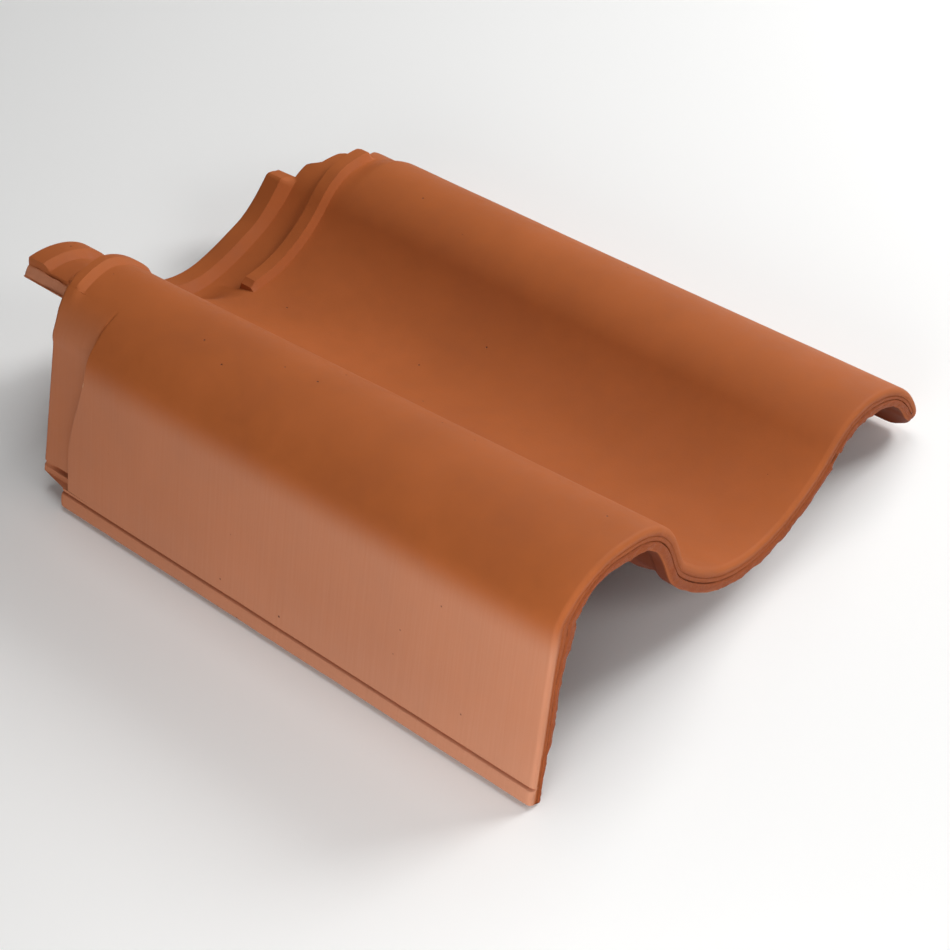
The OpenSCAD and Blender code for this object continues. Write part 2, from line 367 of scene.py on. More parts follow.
    # small roundings and how uneven trimmed clay is
    edge_r: float = 2.5
    side_round: float = 1.4
    side_share: float = 0.22
    draft: float = 0.5
    ragged: float = 0.5
    warp: float = 0.18
    head_edge: float = 0.8
    head_rough: float = 0.25
    side_edge: float = 1.2
    side_rough: float = 0.35
    # bloom and painted sheen on the skirt, paler towards the tail and the foot: where it ends, and how strong it is
    bloom_sheen_above: float = 6.0
    bloom_sheen_soft: float = 20.0
    bloom_sheen_step: float = 3.0
    bloom_sheen_foot: float = 45.0
    sheen_tail_share: float = 1.2
    sheen_fall_share: float = 0.5
    bloom_sheen_recess_share: float = 0.15
    sheen_foot_share: float = 0.25
    bloom_sheen_flange: float = 2.0
    # painted shade on the underside, and trimmed clay: how far they reach, and how softly they end
    under_fade: float = 10.0
    trim_reach: float = 1.0
    trim_from: float = 2.8
    trim_soft: float = 1.5
    trim_foot: float = 2.0
    # how the resting plane climbs in the laid tile, across and along
    lean_across: float = 0.267747
    lean_along: float = 0.018517
    # drawing step across the tile, how close points stand beside an edge, points on a section's upper side
    step: float = 2.1
    near: float = 0.3
    nearer: float = 0.2
    face_points: int = 135
    flange_finer: float = 2.6
    # angles that a side edge is rounded in, in radians, and where an edge counts as sharp, in degrees
    round_angles: tuple[float, ...] = (0.45, 0.9, 1.3)
    sharp_angle: float = 27.0
    # how far points stand from the recess's step, from an end and from the dip
    recess_marks: tuple[float, float] = (3.0, 6.0)
    bead_marks: tuple[float, ...] = (26.0, 14.0, 6.0)
    side_mark: float = 7.0
    dip_mark: float = 2.0
    corner_mark: float = 2.2

    def __post_init__(self) -> None:
        """Works out the places that follow from the sizes."""
        self.noise = Unevenness(seed=7)
        self.half = self.pitch / 2
        bend = (self.half ** 2 + self.pan_depth ** 2) / (2 * self.pan_depth)
        self.pan_r = bend - self.inner_r
        self.pan_z = self.pan_r - self.pan_depth
        self.flank = math.pi / 2 - 2 * math.atan2(self.pan_depth, self.half)
        self.flank_x = self.inner_r * math.cos(self.flank)
        crease = math.pi / 2 + math.radians(self.crease_angle)
        reach = self.outer_r - self.crease_r
        self.crease_c = (reach * math.cos(crease), -self.outer_r + reach * math.sin(crease))
        lean = math.radians(self.skirt_lean)
        self.skirt_n = (-math.cos(lean), -math.sin(lean))
        self.skirt_up = (-math.sin(lean), math.cos(lean))
        self.skirt_x = self.crease_c[0] + self.crease_r * self.skirt_n[0]
        self.skirt_z = self.crease_c[1] + self.crease_r * self.skirt_n[1]
        self.skirt_h = (self.skirt_z + self.skirt_drop) / math.cos(lean)
        self.body_end = self.length - self.body_setback
        self.end_rib_y = self.length - self.end_rib_w
        self.short_rib_end = self.end_rib_y - self.channel_w
        self.short_rib_y = self.short_rib_end - self.short_rib_w
        self.corner_y = self.length - self.corner_setback
        self.side_end = self.body_end - self.skirt_setback
        self.bead_end = self.side_end - self.recess_length + self.bead_past

    # stations across the tile

    def on_skirt(self, height: float, cut: float, stretch: Stretch) -> Station:
        """A station on the skirt.

        Args:
            height: height above the foot.
            cut: how far the face is cut in there.
            stretch: stretch that it belongs to.

        Returns:
            The station.
        """
        below = height - self.skirt_h
        return Station(self.skirt_x + below * self.skirt_up[0], self.skirt_z + below * self.skirt_up[1],
                       self.skirt_n[0], self.skirt_n[1], stretch, cut, height,
                       self.skirt_taper * (1 - height / self.skirt_h))

    def on_arc(self, centre: tuple[float, float], radius: float, start: float, stop: float,
               side: int, stretch: Stretch, finer: float = 1.0) -> list[Station]:
        """Stations on an arc of the section, which stop one draft short of its end.

        Args:
            centre: centre of the arc.
            radius: radius of the upper face.
            start: first angle, in radians.
            stop: last angle, in radians.
            side: 1 where the face looks away from the centre, -1 where it looks at it.
            stretch: stretch that they belong to.
            finer: how many times closer than usual they stand.

        Returns:
            The stations in order.
        """
        stop -= math.copysign(self.draft / radius, stop - start)
        count = max(3, math.ceil(abs(stop - start) * radius * finer / self.step))
        found = []
        for angle in np.linspace(start, stop, count + 1):
            c, s = math.cos(angle), math.sin(angle)
            found.append(Station(centre[0] + radius * c, centre[1] + radius * s, side * c, side * s, stretch))
        return found

    def skirt_stations(self) -> list[Station]:
        """Stations from the foot of the skirt up to the crease.

        Returns:
            The stations in order.
        """
        near, nearer, proud, deep = self.near, self.nearer, self.bead_proud, self.groove_depth
        bead_top, groove_top = self.bead_h, self.bead_h + self.groove_w
        found = []
        for height in np.linspace(self.side_round, bead_top - proud, 5):
            bulge = proud * (1 - (2 * height / bead_top - 1) ** 4)
            found.append(self.on_skirt(height, -bulge, Stretch.BEAD))
        for height, cut in ((bead_top - near, -0.3 * proud), (bead_top, 0.3 * deep), (bead_top + near, deep),
                            (groove_top - nearer, deep), (groove_top, 0.2 * deep),
                            (groove_top + near + nearer, 0.0), (self.recess_rise - near, 0.0)):
            found.append(self.on_skirt(height, cut, Stretch.BEAD))
        low = self.recess_rise + self.slot_h
        high = low + self.slot_w
        beside = 2 * self.slot_edge
        heights = [self.recess_rise, self.recess_rise + 5 * near, low - 5 * nearer, low - beside, low,
                   low + near, high - near, high, high + beside]
        rest = np.linspace(high + self.slot_w, self.skirt_h, math.ceil((self.skirt_h - high) / self.step))
        for height in heights + list(rest[:-1]):
            found.append(self.on_skirt(height, 0.0, Stretch.SIDE))
        return found

    def rim_stations(self, start: float) -> list[Station]:
        """Stations on the right roll down to its free edge, which is cut at a lean.

        Args:
            start: first angle, in radians.

        Returns:
            The stations in order.
        """
        stop, lean = math.radians(self.free_angle) + self.side_round / self.outer_r, math.radians(self.free_cut)
        count = math.ceil((start - stop) * self.outer_r / self.step)
        inner = self.outer_r - self.shell
        found = []
        for t in np.linspace(0.0, 1.0, count + 1):
            a = start + (stop - start) * t
            b = a + lean * t
            top = (self.pitch + self.outer_r * math.cos(a), -self.outer_r + self.outer_r * math.sin(a))
            low = (self.pitch + inner * math.cos(b), -self.outer_r + inner * math.sin(b))
            found.append(Station(top[0], top[1], (top[0] - low[0]) / self.shell, (top[1] - low[1]) / self.shell,
                                 Stretch.RIM))
        return found

    def stations(self) -> list[Station]:
        """All stations from the foot of the skirt to the free edge, with rounded ends.

        Returns:
            The stations in order.
        """
        quarter, turn = math.pi / 2, math.pi
        lean = math.radians(self.skirt_lean)
        crease = quarter + math.radians(self.crease_angle)
        tongue = quarter + math.asin(self.tongue_reach / self.outer_r)
        flange = quarter + math.asin((self.tongue_reach - self.flange_w - 3 * self.crack_w) / self.outer_r)
        corner = turn - math.acos(self.corner_inset / self.inner_r)
        past = quarter - math.asin(self.short_rib_past / self.outer_r)
        left_out, left_in = (0.0, -self.outer_r), (0.0, -self.inner_r)
        right_in, right_out = (self.pitch, -self.inner_r), (self.pitch, -self.outer_r)
        pan = (self.half, self.pan_z)
        rib = 3 * quarter + math.asin(self.short_rib_from / self.pan_r)
        found = self.skirt_stations()
        found += self.on_arc(self.crease_c, self.crease_r, turn + lean, crease, 1, Stretch.SIDE)
        found += self.on_arc(left_out, self.outer_r, crease, tongue, 1, Stretch.SIDE)
        found += self.on_arc(left_out, self.outer_r, tongue, flange, 1, Stretch.TONGUE, finer=self.flange_finer)
        found += self.on_arc(left_out, self.outer_r, flange, quarter, 1, Stretch.TONGUE)
        found += self.on_arc(left_in, self.inner_r, quarter, self.flank, 1, Stretch.TONGUE)
        found += self.on_arc(pan, self.pan_r, turn + self.flank, rib, -1, Stretch.PAN)
        found += self.on_arc(pan, self.pan_r, rib, 2 * turn - self.flank, -1, Stretch.RIBBED)
        found += self.on_arc(right_in, self.inner_r, turn - self.flank, corner, 1, Stretch.RIBBED)
        found += self.on_arc(right_in, self.inner_r, corner, quarter, 1, Stretch.CORNER)
        found += self.on_arc(right_out, self.outer_r, quarter, past, 1, Stretch.CORNER)
        found += self.rim_stations(past)
        run = 0.0
        for before, here in zip(found, found[1:]):
            run += math.hypot(here.x - before.x, here.z - before.z)
            here.run = run
        found = self.rounded_end(found[0], -1.0)[::-1] + found + self.rounded_end(found[-1], 1.0)
        for st in found:
            st.end, st.tail = self.end_at(st), self.tail_at(st)
        return found

    def rounded_end(self, edge: Station, away: float) -> list[Station]:
        """Stations that round off a side edge of the shell.

        Args:
            edge: the last full station.
            away: 1 to go on past the station, -1 to go on before it.

        Returns:
            Stations with a thinner and thinner section.
        """
        found = []
        for angle in self.round_angles:
            ahead = self.side_round * math.sin(angle) * away
            found.append(replace(edge, x=edge.x + ahead * edge.nz, z=edge.z - ahead * edge.nx, run=edge.run + ahead,
                                 shrink=1 - self.side_share * (1 - math.cos(angle))))
        return found

    # where forms begin and end along the tile

    def down_skirt(self, z: float) -> float:
        """Rises from 0 at the crease to 1 at the skirt's foot."""
        return min(1.0, max(0.0, (self.skirt_z - z) / (self.skirt_z + self.skirt_drop)))

    def up_skirt(self, z: float) -> float:
        """Rises from 0 on the skirt to 1 on the left roll."""
        return ease((z - self.skirt_z + self.fill_span) / self.fill_span)

    def down_tongue(self, x: float) -> float:
        """Rises from 0 on the tongue to 1 at the left edge of its flange."""
        return max(0.0, 1 - (x + self.tongue_reach) / self.flange_w)

    def right_side(self, x: float) -> float:
        """Rises from 0 in the pan to 1 on the right roll."""
        return ease((x - self.raise_x) / self.raise_span)

    def skew_at(self, x: float) -> float:
        """How much longer the head is towards its right corner."""
        return self.head_skew * max(0.0, x / self.half - 1)

    def drop_at(self, x: float) -> float:
        """How far the head is lowered at a place across the tile."""
        t = min(1.0, max(0.0, (x - self.drop_from) / (self.drop_to - self.drop_from)))
        return self.tongue_drop * math.cos(math.pi / 2 * t) ** 2

    def fall_at(self, x: float) -> float:
        """Length over which the body falls to the lowered head: a step on the roll, a slope in the pan."""
        t = ease((x - self.fall_share * self.flank_x) / self.half)
        return self.fall_min + (self.end_rib_y - self.body_end - self.fall_short) * t

    def recess_y(self, z: float) -> float:
        """Where the recess begins along the tile, at a height.

        Args:
            z: height as laid.

        Returns:
            Place along the tile.
        """
        z = min(z, -self.recess_top)
        up = ease((z + self.skirt_drop - self.recess_foot) / self.recess_span)
        return self.side_end - self.recess_length - self.recess_sweep * up

    def recess_before(self, st: Station) -> float:
        """Where the recess begins, kept clear of the tile's end."""
        return min(self.recess_y(st.z), st.end - 4 * self.edge_r)

    def recess_at(self, st: Station) -> float:
        """Full depth of the recess at a station.

        Args:
            st: the station.

        Returns:
            Depth.
        """
        if st.stretch not in (Stretch.SIDE, Stretch.TONGUE) or st.x > 0:
            return 0.0
        depth = self.recess_depth * ease((-self.recess_top - st.z) / self.recess_fade)
        return depth - (self.recess_depth - self.recess_foot_depth) * self.down_skirt(st.z)

    def body_at(self, st: Station) -> float:
        """Where the body ends above the tongue.

        Args:
            st: the station.

        Returns:
            Place along the tile.
        """
        up = max(0.0, min(1.0, 1 - st.x / self.skirt_x))
        up = up ** self.sweep_power * ease(up / self.sweep_share)
        swept = self.end_sweep + self.end_trim
        return self.side_end - swept + (self.skirt_setback + swept) * up

    def corner_end(self, x: float) -> float:
        """Where the cut corner ends: a spur beside the end rib, a slant, and a notch beside the short rib.

        Args:
            x: place across the tile.

        Returns:
            Place along the tile.
        """
        past = x - self.pitch + self.corner_inset
        end = self.corner_y + self.corner_past + self.corner_slant * max(0.0, 1 - past / self.corner_inset)
        end += self.corner_spur * (1 - ease((past - self.spur_w) / self.spur_w))
        beside = (x - self.pitch + self.setback_w / 2) / self.setback_w
        back = self.rim_setback * ease(beside)
        return end - back * (1 - self.setback_share * ease(beside - self.setback_far_share))

    def end_at(self, st: Station) -> float:
        """Where the tile ends at the head.

        Args:
            st: the station.

        Returns:
            Place along the tile.
        """
        if st.stretch is Stretch.BEAD:
            return self.bead_end
        if st.stretch in LONG:
            return self.length + self.skew_at(st.x)
        if st.stretch in RIGHT:
            return self.corner_end(st.x)
        if st.z < self.skirt_z:
            swept = self.end_sweep + (self.foot_sweep - self.end_sweep) * self.down_skirt(st.z)
            return self.side_end - swept - self.end_trim
        return self.body_at(st)

    def short_rib_at(self, st: Station) -> tuple[float, float]:
        """Where the short rib begins and ends along the tile, at a place across it."""
        skew = self.short_rib_skew * max(0.0, min(st.x, self.pitch + self.short_rib_past) / self.half - 1)
        return self.short_rib_y + skew, min(self.short_rib_end + skew, st.end - self.short_rib_clear)

    def into_rim(self, st: Station) -> float:
        """Rises to 1 at the free edge, from 0 a corner's radius before it."""
        angle = math.atan2(st.z + self.outer_r, st.x - self.pitch) - math.radians(self.free_angle)
        return min(1.0, max(0.0, 1 - angle * self.outer_r / self.rim_corner_r)) if st.stretch is Stretch.RIM else 0.0

    def tail_at(self, st: Station) -> float:
        """How far the tail is cut back at the rounded corner of the free edge."""
        return self.rim_corner_r * (1 - math.sqrt(max(0.0, 1 - self.into_rim(st) ** 2)))

    def thickness_at(self, st: Station) -> float:
        """Clay thickness of the shell, with the fill in the crease."""
        fill = hill(st.z, self.skirt_z, self.fill_span) if st.x < 0 else 0.0
        return self.shell + self.crease_fill * fill - self.rim_thin * ease(self.into_rim(st))

    def lip_at(self, st: Station) -> float:
        """Depth of the ribs under the tail.

        Args:
            st: the station.

        Returns:
            Depth below the face.
        """
        left = st.x / self.lip_fade + 1
        right = (self.pitch + self.outer_r / 2 - st.x) / self.lip_fade
        lip = self.tail_lip * max(0.0, min(1.0, left, right))
        lip += (self.tail_lip_pan - self.tail_lip) * hill(st.x, self.half, self.lip_share * self.half)
        on_skirt = st.x < self.skirt_x + self.chip_reach
        chipped = self.chip_depth * ease((self.chip_z - st.z) / self.chip_span) if on_skirt else 0.0
        return self.thickness_at(st) + lip - chipped

    # the form of the upper face

    def taper_at(self, st: Station, y: Array) -> Array:
        """How far the shell stands out, as it narrows from tail to head.

        Args:
            st: the station.
            y: places along the tile.

        Returns:
            Distances along the station's outward direction.
        """
        t = np.minimum(1.0, y / self.body_end)
        reach = self.flank_x + self.roll_reach if st.x < self.flank_x else self.flank_reach
        out = hill(st.x, self.flank_x, reach) * (self.flank_swell - (self.flank_swell + self.flank_waist) * t)
        if st.stretch in (Stretch.TONGUE, Stretch.PAN):
            out = out * (1 - smooth((y - self.body_at(st)) / self.fall_at(st.x)))
        level = np.maximum(0.0, 1 - y / self.sag_length)
        out = out - self.pan_sag * hill(st.x, self.half, self.sag_reach) * level
        return out + self.rim_flare * (max(0.0, st.x - self.pitch) / self.outer_r) ** 2 * (1 - t)

    def recess_form(self, st: Station, y: Array) -> Array:
        """Depth of the recess, of the line along its step and of the slot at its foot.

        Args:
            st: the station.
            y: places along the tile.

        Returns:
            Depths.
        """
        step, recess = self.recess_before(st), self.recess_at(st)
        inside = smooth((y - step) / self.recess_step)
        line = self.line_depth * min(1.0, recess) * self.up_skirt(st.z) * hump(y, step + self.line_in, self.line_w)
        slot = 0.0
        if st.stretch is Stretch.SIDE and st.height > 0:
            at, lap = st.height - self.recess_rise - self.slot_h, self.near
            slot = self.slot_depth * ease((at + lap) / self.slot_edge)
            slot *= ease((self.slot_w + lap - at) / self.slot_edge)
        closing = smooth((y - step - self.slot_full) / (st.end - step - self.slot_short))
        return recess * inside + line + slot * inside * (1 - self.slot_share * closing)

    def top_depth(self, st: Station, y: Array) -> Array:
        """Depth of the upper face below the plain section.

        Args:
            st: the station.
            y: places along the tile.

        Returns:
            Depths, less than zero where the face stands proud.
        """
        rise = smooth((y - self.raise_from) / (self.short_rib_y - self.raise_from))
        depth = st.cut + self.recess_form(st, y) - self.roll_raise * self.right_side(st.x) * rise
        # slight waves of the pressed clay, a hand wide and a thumb wide
        depth += self.warp * self.noise.at(st.run / 47 + 3.3, y / 61 + 8.1)
        depth += 0.4 * self.warp * self.noise.at(st.run / 13 + 1.7, y / 19 + 5.2)
        if st.stretch is Stretch.SIDE and st.z > self.skirt_z:
            depth -= self.roll_rib(st, y)
        if st.stretch in (Stretch.BEAD, Stretch.SIDE):
            return depth + round_over(y, st.end, self.edge_r)
        if st.stretch is Stretch.TONGUE:
            return depth + self.tongue_depth(st, y)
        return depth + self.head_depth(st, y)

    @staticmethod
    def slope(t: Array) -> Array:
        """A straight slope from 0 to 1."""
        return np.clip(t, 0.0, 1.0)

    def end_rib(self, st: Station, y: Array) -> Array:
        """Height of the rib at the very end of the head.

        Args:
            st: the station.
            y: places along the tile.

        Returns:
            Heights.
        """
        high = self.end_rib_h
        if st.stretch is Stretch.TONGUE and st.x < self.flank_x:
            high *= self.tongue_rib_share + (1 - self.tongue_rib_share) * ease(st.x / self.flank_x)
            inset = st.x + self.tongue_reach - self.flange_w
            high *= ease((inset + self.tongue_rib_start) / self.tongue_rib_slope)
        high += self.corner_lift * ease((st.x - self.drop_to) / self.lift_span)
        high *= 1 - ease((st.x - self.end_rib_stop) / self.rib_slope)
        rib = high * self.slope((y - self.end_rib_y - self.skew_at(st.x)) / self.rib_slope)
        return rib - self.end_round * smooth((y - st.end + self.end_round) / self.end_round)

    def roll_rib_foot(self, st: Station) -> float:
        """Where the rib across the left roll begins along the tile."""
        return self.body_at(st) - self.roll_rib_back - self.roll_rib_w - self.rib_slope

    def roll_rib(self, st: Station, y: Array) -> Array:
        """Height of the rib across the left roll, which fades on both flanks.

        Args:
            st: the station.
            y: places along the tile.

        Returns:
            Heights.
        """
        right = 1 - ease((st.x / self.flank_x - self.roll_rib_share) / (1 - self.roll_rib_share))
        left = ease((st.x + self.tongue_reach + self.roll_rib_left) / self.roll_rib_fade)
        return self.roll_rib_h * right * left * self.slope((y - self.roll_rib_foot(st)) / self.rib_slope)

    def tongue_depth(self, st: Station, y: Array) -> Array:
        """Depth at the left roll's head: the rib across the roll, its steep back, a ledge, the tongue and its rib.

        Args:
            st: the station.
            y: places along the tile.

        Returns:
            Depths.
        """
        body = self.body_at(st)
        top, ledge_y = body - self.roll_rib_back, body + self.ledge_w
        fall = self.roll_rib_back + self.fall_at(st.x)
        fallen = smooth((y - top) / fall)
        down = self.down_tongue(st.x)
        left = 1 - ease((st.x - self.ledge_stop) / self.ledge_fade)
        ledge = self.ledge_h * smooth((ledge_y - y) / self.ledge_edge) * left * (1 - down)
        ledge = ledge - self.crack_depth * hump(y, ledge_y + self.crack_in, self.crack_w) * left
        side = self.flange_h * down + self.flange_rag * math.sqrt(down) * self.noise.at(y / 5.0, st.x / 2.3)
        crack = hill(st.x, self.flange_w - self.tongue_reach - self.crack_off, self.crack_w)
        closing = self.crack_share * smooth((y - self.end_rib_y) / self.rib_slope)
        side = side + self.crack_depth * crack * (1 - closing)
        depth = (self.drop_at(st.x) + side - ledge) * fallen - self.roll_rib(st, y) * (1 - fallen)
        return depth - self.end_rib(st, y) * smooth((y - top - fall) / self.draft)

    def head_depth(self, st: Station, y: Array) -> Array:
        """Depth at the head of the pan and the right roll: short rib, channel, end rib, dip.

        Args:
            st: the station.
            y: places along the tile.

        Returns:
            Depths.
        """
        rib_y, rib_end = self.short_rib_at(st)
        behind = smooth((y - rib_end + self.back_in) / self.back_w)
        fallen = behind
        if st.stretch not in (Stretch.RIBBED, Stretch.CORNER):
            fall = self.fall_at(st.x)
            fallen = smooth((y - self.body_end + self.fall_lead_share * fall) / (self.fall_stretch_share * fall))
        floor = self.drop_at(st.x) if st.stretch in LONG else 0.0
        dip = self.roll_dip * ease((st.x - self.pitch + self.dip_in) / self.dip_span)
        dip += self.roll_raise * self.right_side(st.x)
        depth = floor * fallen + dip * smooth((y - rib_y + self.dip_length) / self.dip_length)
        if st.stretch is not Stretch.PAN:
            tip = ease((self.pitch + self.short_rib_tip - st.x) / self.short_rib_fade)
            start = ease((st.x - self.half - self.short_rib_from) / self.short_rib_fade)
            high = self.short_rib_h * tip * (self.short_rib_share + (1 - self.short_rib_share) * start)
            depth = depth - high * self.slope((y - rib_y) / self.short_rib_slope) * (1 - behind)
        if st.stretch in LONG:
            return depth - self.end_rib(st, y)
        return depth + round_over(y, st.end, self.corner_round)

    # the section along the tile

    def top_places(self, st: Station) -> Array:
        """Places on the upper side, as many on each section, with one at each edge of a rib.

        Args:
            st: the station.

        Returns:
            Places along the tile, from the tail's edge on.
        """
        step, end = self.recess_before(st), st.end
        edges = [st.tail + self.tail_edge, step - self.recess_marks[0], step + self.recess_marks[1]]
        counts = [36, 14, 10]
        rib = self.end_rib_y + self.skew_at(st.x)
        if st.stretch is Stretch.BEAD:
            edges[1:] = [end - mark for mark in self.bead_marks] + [end]
            counts += [16]
        elif st.stretch is Stretch.SIDE:
            edges += [end - self.side_mark, end]
            counts += [16]
        elif st.stretch is Stretch.TONGUE:
            foot, body = self.roll_rib_foot(st), self.body_at(st)
            edges += [foot, foot + self.rib_slope, body - self.roll_rib_back, body + self.fall_min]
            edges += [rib, rib + self.rib_slope, end]
            counts += [5, 5, 6, 28, 6, 14]
        else:
            short, back = self.short_rib_at(st)
            back -= self.back_in
            edges += [short - self.dip_length - self.dip_mark, short, short + self.short_rib_slope]
            edges += [back, back + self.back_w]
            edges += [rib, rib + self.rib_slope, end] if st.stretch in LONG else [end - self.corner_mark, end]
            counts += [16, 4, 5, 3, 16] + ([6, 14] if st.stretch in LONG else [20])
        return np.concatenate([np.linspace(a, b, n + 1)[1:] for a, b, n in zip(edges, edges[1:], counts)])

    def head_face(self, st: Station, top: float) -> tuple[Array, Array]:
        """The end face at the head, and the underside from there to the nib.

        Args:
            st: the station.
            top: depth of the upper face at the end.

        Returns:
            Places along the tile and depths.
        """
        thick, end, behind_nib = self.thickness_at(st), st.end, self.nib_y + self.nib_t + self.nib_clear
        under = thick
        if st.stretch in LONG or st.stretch in RIGHT:
            if st.stretch in LONG:
                under = max(thick, self.drop_at(st.x) + self.tongue_t)
            if st.stretch is Stretch.TONGUE:
                under -= (self.tongue_t - self.flange_h - self.flange_edge) * self.down_tongue(st.x)
            face_d = np.linspace(top, under - self.head_edge, 8)[1:]
            face_y = end + self.head_rough * self.noise.at(st.run / 5, face_d / 3 + 40)
            back_y = np.linspace(end - self.head_edge, behind_nib, 14)
            root_y = self.body_end - self.root_from
        else:
            if st.z > self.skirt_z:
                root = self.drop_at(st.x) + self.flange_h + self.flange_edge
                under += (root - thick) * ease((st.x + self.tongue_reach + self.root_reach) / self.root_fade)
            share = np.interp(np.linspace(0, 1, 57)[1:], [0, 0.2, 1], [0, 0.9, 1])
            face_d = top + (under - self.side_edge - top) * share
            face_y = end + self.side_rough * self.noise.at(st.run / 4, face_d / 3 + 20)
            back_y = np.linspace(end - 1.0, min(end - 8.0, behind_nib), 13)
            root_y = end - self.root_from
        back_d = thick + (under - thick) * smooth((back_y - root_y) / self.root_span)
        return np.concatenate([face_y, back_y]), np.concatenate([face_d, back_d])

    def underside(self, st: Station) -> tuple[Array, Array]:
        """The underside from the nib to the two ribs under the tail.

        Args:
            st: the station.

        Returns:
            Places along the tile and depths.
        """
        thick, flank = self.thickness_at(st), self.tail_rib_flank
        nib_y = np.linspace(min(st.end - 9.0, self.nib_y + self.nib_t + 1.0), self.nib_y - 1.0, 15)
        across = ease((self.nib_w / 2 + self.nib_draft - abs(st.x - self.half)) / (2 * self.nib_draft))
        front = smooth((nib_y - self.nib_y + self.nib_edge) / (2 * self.nib_edge))
        back = smooth((self.nib_y + self.nib_t - nib_y) / (self.nib_t / 4))
        rest_y = np.linspace(self.nib_y - 1.0, self.tail_ribs_end, 27)[1:]
        ribs_y = np.linspace(self.tail_ribs_end, st.tail + self.end_trim, 33)[1:]
        far = 2 * self.tail_rib_w + self.tail_groove_w
        ribs = smooth((far - ribs_y) / flank) * smooth((ribs_y - far + self.tail_rib_w) / flank)
        ribs = smooth((self.tail_rib_w - ribs_y) / flank) + ribs
        rough = 0.5 * self.ragged * self.noise.at(st.run / 6, ribs_y / 4)
        ribs_d = thick + (self.lip_at(st) - thick) * ribs + rough * ribs
        return (np.concatenate([nib_y, rest_y, ribs_y]),
                np.concatenate([thick + self.nib_h * across * front * back, np.full(len(rest_y), thick), ribs_d]))

    def tail_face(self, st: Station) -> tuple[Array, Array]:
        """The tail's face, from its lower edge up: a proud trimmed lip, the parting groove, a plain band.

        Args:
            st: the station.

        Returns:
            Places along the tile and depths.
        """
        lip, proud, deep = self.lip_at(st), self.lip_proud, self.parting_depth
        shares = np.array([0.03, 0.12, 0.30, 0.42, 0.46, 0.50, 0.55, 0.72, 0.77, 0.82])
        out = np.array([0.2, -0.6 * proud, -proud, -proud, -0.2 * proud, deep, 0.0, 0.0, 0.6 * deep, 0.0])
        lower = smooth((0.5 - shares) / 0.2)
        rough = self.noise.at(st.run / 4.0 + 11, shares * 3) + 0.6 * self.noise.at(st.run / 1.9 + 5, shares * 5)
        nick = hill(st.x, self.nick_x, self.nick_w) * lower
        y = st.tail + out + self.ragged * rough * (0.25 + 0.75 * lower) + self.nick_depth * nick
        torn = 0.5 * self.ragged * lower * self.noise.at(st.run / 3.1 + 2, 9.5)
        return y, lip - shares * (lip - self.tail_edge) + torn - self.nick_rise * nick

    def section(self, st: Station) -> tuple[Array, Array]:
        """The closed outline along the tile at one station.

        Args:
            st: the station.

        Returns:
            Places along the tile and depths below the face, from the tail's upper edge over the face to the
            head, back along the underside and up the tail's face.
        """
        curl = np.linspace(0, math.pi / 2, 7)
        edge_y = st.tail + self.tail_edge * (1 - np.cos(curl))
        edge_d = self.tail_edge * (1 - np.sin(curl)) + self.top_depth(st, edge_y)
        top_y = self.top_places(st)
        top_d = self.top_depth(st, top_y)
        lines = [(edge_y, edge_d), (top_y, top_d), self.head_face(st, top_d[-1]),
                 self.underside(st), self.tail_face(st)]
        middle = self.thickness_at(st) / 2
        depth = np.concatenate([line[1] for line in lines])
        return np.concatenate([line[0] for line in lines]), middle + (depth - middle) * st.shrink

    # the mesh

    def rest_matrix(self) -> Array:
        """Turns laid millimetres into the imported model's metres.

        Returns:
            Three rows of four numbers.
        """
        up = np.array([-self.lean_across, -self.lean_along, 1.0])
        up /= np.linalg.norm(up)
        ahead = np.array([0.0, 1.0, 0.0]) - up[1] * up
        ahead /= np.linalg.norm(ahead)
        turn = np.vstack([np.cross(ahead, up), ahead, up])
        nib = np.array([self.half, self.nib_y, -self.pan_depth - self.shell - self.nib_h / 2])
        place = np.array(frame["record"]["mounts"][0]["pos_m"])
        return np.hstack([turn * MM, (place - turn @ nib * MM)[:, None]])

    def placed(self, stations: list[Station]) -> tuple[Array, Array]:
        """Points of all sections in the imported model's frame.

        Args:
            stations: the stations in order.

        Returns:
            Points in metres, and run across, place along and depth of each in mm (stations, places, 3).
        """
        points, laid = [], []
        for st in stations:
            y, d = self.section(st)
            lift = st.lift * y / self.length
            if 0.0 <= st.height <= self.side_round:
                lift = lift + self.ragged * np.maximum(0.0, self.noise.at(y / 7.0, 3.5) - 0.1)
            out = self.taper_at(st, y) - d
            points.append(np.stack([st.x + out * st.nx + lift * self.skirt_up[0], y,
                                    st.z + out * st.nz + lift * self.skirt_up[1]], axis=1))
            laid.append(np.stack([np.full(len(y), st.run), y, d], axis=1))
        matrix = self.rest_matrix()
        return np.array(points) @ matrix[:, :3].T + matrix[:, 3], np.array(laid)

    @staticmethod
    def cap(ring: Array, along: Array, split: int, flip: bool) -> list[tuple[int, ...]]:
        """Closes a side edge between its upper and its lower line.

        Args:
            ring: point numbers of the section.
            along: their places along the tile.
            split: number of points on the upper line.
            flip: turns the faces over.

        Returns:
            Triangles.
        """
        upper, lower = list(ring[:split]), list(ring[split:])[::-1]
        place = dict(zip(ring.tolist(), along.tolist()))
        faces, i, j = [], 0, 0
        while i < len(upper) - 1 or j < len(lower) - 1:
            step_up = j == len(lower) - 1 or (i < len(upper) - 1 and place[upper[i + 1]] <= place[lower[j + 1]])
            if step_up:
                faces.append((upper[i], upper[i + 1], lower[j]))
                i += 1
            else:
                faces.append((upper[i], lower[j + 1], lower[j]))
                j += 1
        return [f[::-1] for f in faces] if flip else faces

